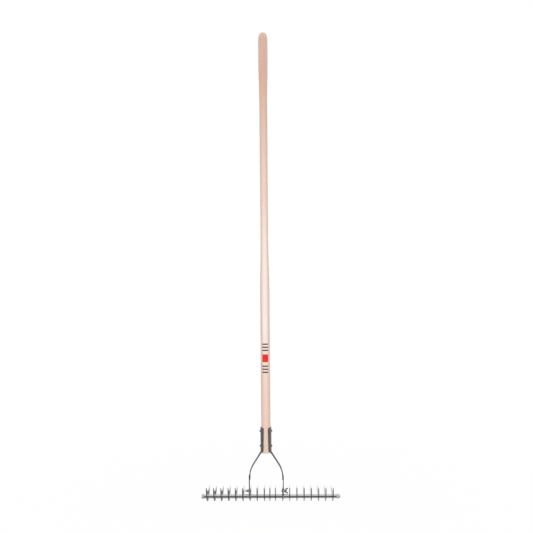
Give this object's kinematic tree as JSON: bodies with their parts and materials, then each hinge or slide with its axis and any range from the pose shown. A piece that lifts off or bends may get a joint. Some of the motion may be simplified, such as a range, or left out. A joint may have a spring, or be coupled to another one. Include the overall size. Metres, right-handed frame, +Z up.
{
  "type": "thatch rake",
  "caption": "Long-handled thatch rake: a row of half-moon steel tines on a tilting rod, held by a two-armed bow on a turned wooden handle.",
  "frame": {"origin": "on the axis of the tine rod, below the middle of the handle", "axes": "+Z up along the handle towards its grip, +X along the tine rod to the right as seen from the front, +Y away from the front"},
  "size_m": [0.4496, 0.1003, 1.5241],
  "materials": {
    "ash_wood": "clear lacquer, satin",
    "arm_steel": "dark grey stoved paint",
    "rivet_steel": "dark grey stoved paint",
    "tine_steel": "rolled steel, clear passivated",
    "spacer_zinc": "bright zinc plate",
    "zinc_plate": "bright zinc plate",
    "wing_nut_zinc": "dull zinc plate"
  },
  "bodies": {
    "handle_and_bow": {"handle": "ash_wood", "left_arm": "arm_steel", "right_arm": "arm_steel", "upper_rivet": "rivet_steel", "lower_rivet": "rivet_steel"},
    "head": {"tine_rod": "zinc_plate", "rod_lock_nut": "zinc_plate", "tine_01": "tine_steel", "tine_02": "tine_steel", "tine_03": "tine_steel", "tine_04": "tine_steel", "tine_05": "tine_steel", "tine_06": "tine_steel", "tine_07": "tine_steel", "tine_08": "tine_steel", "tine_09": "tine_steel", "tine_10": "tine_steel", "tine_11": "tine_steel", "tine_12": "tine_steel", "tine_13": "tine_steel", "tine_14": "tine_steel", "tine_15": "tine_steel", "tine_16": "tine_steel", "tine_17": "tine_steel", "tine_18": "tine_steel", "tine_19": "tine_steel", "spacer_01": "spacer_zinc", "spacer_02": "spacer_zinc", "spacer_03": "spacer_zinc", "spacer_04": "spacer_zinc", "spacer_05": "spacer_zinc", "spacer_06": "spacer_zinc", "spacer_07": "spacer_zinc", "spacer_08": "spacer_zinc", "spacer_09": "spacer_zinc", "spacer_10": "spacer_zinc", "spacer_11": "spacer_zinc", "spacer_12": "spacer_zinc", "spacer_13": "spacer_zinc", "spacer_14": "spacer_zinc", "spacer_15": "spacer_zinc", "spacer_16": "spacer_zinc", "spacer_17": "spacer_zinc", "spacer_18": "spacer_zinc", "left_end_spacer": "spacer_zinc", "right_end_spacer": "spacer_zinc", "left_clamp_bolt": "zinc_plate", "right_clamp_bolt": "zinc_plate"},
    "left_washer": {"left_washer": "zinc_plate"},
    "right_washer": {"right_washer": "zinc_plate"},
    "left_wing_nut": {"left_wing_nut": "wing_nut_zinc"},
    "right_wing_nut": {"right_wing_nut": "wing_nut_zinc"}
  },
  "joints": [
    {"name": "head_tilt", "type": "hinge", "parent": "handle_and_bow", "child": "head", "pos_m": [0, 0, 0], "axis": [1, 0, 0], "range_deg": [-11, 39]},
    {"name": "left_washer_travel", "type": "slide", "parent": "head", "child": "left_washer", "axis": [-1, 0, 0], "range_m": [0, 0.005]},
    {"name": "left_wing_nut_turn", "type": "hinge", "parent": "left_washer", "child": "left_wing_nut", "pos_m": [-0.06, 0.00411, 0.0165], "axis": [-1, 0, 0], "range_deg": [0, 810]},
    {"name": "right_washer_travel", "type": "slide", "parent": "head", "child": "right_washer", "axis": [1, 0, 0], "range_m": [0, 0.005]},
    {"name": "right_wing_nut_turn", "type": "hinge", "parent": "right_washer", "child": "right_wing_nut", "pos_m": [0.06, 0.00411, 0.0165], "axis": [1, 0, 0], "range_deg": [0, 810]}
  ],
  "couplings": [
    {"joint": "left_washer_travel", "follows": "left_wing_nut_turn", "m_per_rad": 0.00016839},
    {"joint": "right_washer_travel", "follows": "right_wing_nut_turn", "m_per_rad": 0.00016839}
  ]
}
